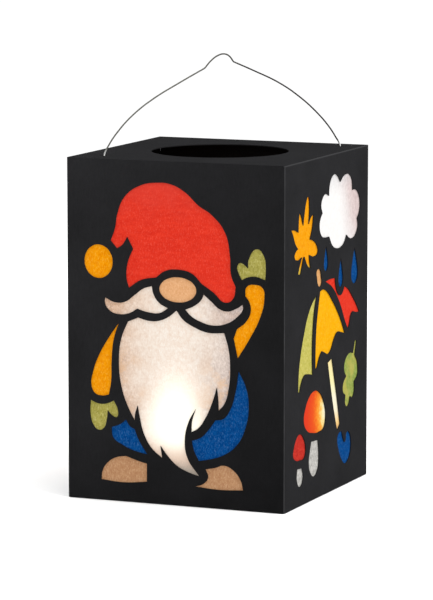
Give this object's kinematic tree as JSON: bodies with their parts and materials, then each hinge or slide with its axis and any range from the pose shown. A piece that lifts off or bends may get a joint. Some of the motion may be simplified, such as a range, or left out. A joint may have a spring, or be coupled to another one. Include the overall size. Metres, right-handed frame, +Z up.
{
  "type": "card window lantern",
  "caption": "Square black card lantern with a gnome and an autumn scene cut in its walls, coloured paper windows, a wire bail and a battery tea light.",
  "frame": {"origin": "middle of the lantern's underside, on the surface it stands on", "axes": "+Z up; the gnome wall faces -Y and the autumn wall faces +X"},
  "size_m": [0.136, 0.136, 0.2574],
  "materials": {
    "black_card": "matte black coloured card, slightly fibrous",
    "red_paper": "translucent red paper, lit from behind",
    "orange_paper": "translucent orange paper",
    "skin_paper": "translucent skin-coloured paper",
    "white_paper": "translucent white paper",
    "green_paper": "translucent olive green paper",
    "blue_paper": "translucent blue paper",
    "brown_paper": "translucent light brown paper",
    "yellow_paper": "translucent amber paper",
    "lime_paper": "translucent lime paper",
    "cream_paper": "translucent cream paper",
    "steel_wire": "drawn steel wire, dull",
    "white_plastic": "white moulded plastic",
    "flame_plastic": "frosted amber plastic, glowing",
    "clear_plastic": "clear epoxy lens",
    "cell_steel": "nickel-plated steel can",
    "black_plastic": "black moulded plastic"
  },
  "bodies": {
    "lantern": {"card_sleeve": "black_card", "top_tray": "black_card", "bottom_tray": "black_card", "back_beard_paper": "white_paper", "back_hat_paper": "red_paper", "back_mitten_left_paper": "green_paper", "back_mitten_right_paper": "green_paper", "back_nose_paper": "skin_paper", "back_pompom_paper": "orange_paper", "back_shoe_left_paper": "brown_paper", "back_shoe_right_paper": "brown_paper", "back_sleeve_left_paper": "orange_paper", "back_sleeve_right_paper": "orange_paper", "back_trousers_left_paper": "blue_paper", "back_trousers_right_paper": "blue_paper", "front_beard_paper": "white_paper", "front_hat_paper": "red_paper", "front_mitten_left_paper": "green_paper", "front_mitten_right_paper": "green_paper", "front_nose_paper": "skin_paper", "front_pompom_paper": "orange_paper", "front_shoe_left_paper": "brown_paper", "front_shoe_right_paper": "brown_paper", "front_sleeve_left_paper": "orange_paper", "front_sleeve_right_paper": "orange_paper", "front_trousers_left_paper": "blue_paper", "front_trousers_right_paper": "blue_paper", "left_canopy_left_paper": "lime_paper", "left_canopy_middle_paper": "yellow_paper", "left_canopy_right_paper": "red_paper", "left_cap_large_paper": "red_paper", "left_cap_small_paper": "red_paper", "left_cloud_paper": "white_paper", "left_ferrule_paper": "skin_paper", "left_handle_paper": "blue_paper", "left_maple_leaf_paper": "yellow_paper", "left_oak_leaf_paper": "green_paper", "left_raindrops_paper": "blue_paper", "left_shaft_paper": "cream_paper", "left_stems_paper": "white_paper", "right_canopy_left_paper": "lime_paper", "right_canopy_middle_paper": "yellow_paper", "right_canopy_right_paper": "red_paper", "right_cap_large_paper": "red_paper", "right_cap_small_paper": "red_paper", "right_cloud_paper": "white_paper", "right_ferrule_paper": "skin_paper", "right_handle_paper": "blue_paper", "right_maple_leaf_paper": "yellow_paper", "right_oak_leaf_paper": "green_paper", "right_raindrops_paper": "blue_paper", "right_shaft_paper": "cream_paper", "right_stems_paper": "white_paper"},
    "bail": {"bail": "steel_wire"},
    "tea_light": {"light_cup": "white_plastic", "light_flame": "flame_plastic", "light_base": "white_plastic", "led": "clear_plastic", "coin_cell": "cell_steel"},
    "switch": {"switch_slider": "black_plastic"}
  },
  "joints": [
    {"name": "bail_swing", "type": "hinge", "parent": "lantern", "child": "bail", "pos_m": [0, 0, 0.19975], "axis": [0.7071, 0.7071, 0], "range_deg": [-60, 60]},
    {"name": "light_lift", "type": "slide", "parent": "lantern", "child": "tea_light", "axis": [0, 0, 1], "range_m": [0, 0.2]},
    {"name": "switch_slide", "type": "slide", "parent": "tea_light", "child": "switch", "axis": [0, 1, 0], "range_m": [0, 0.003]}
  ]
}
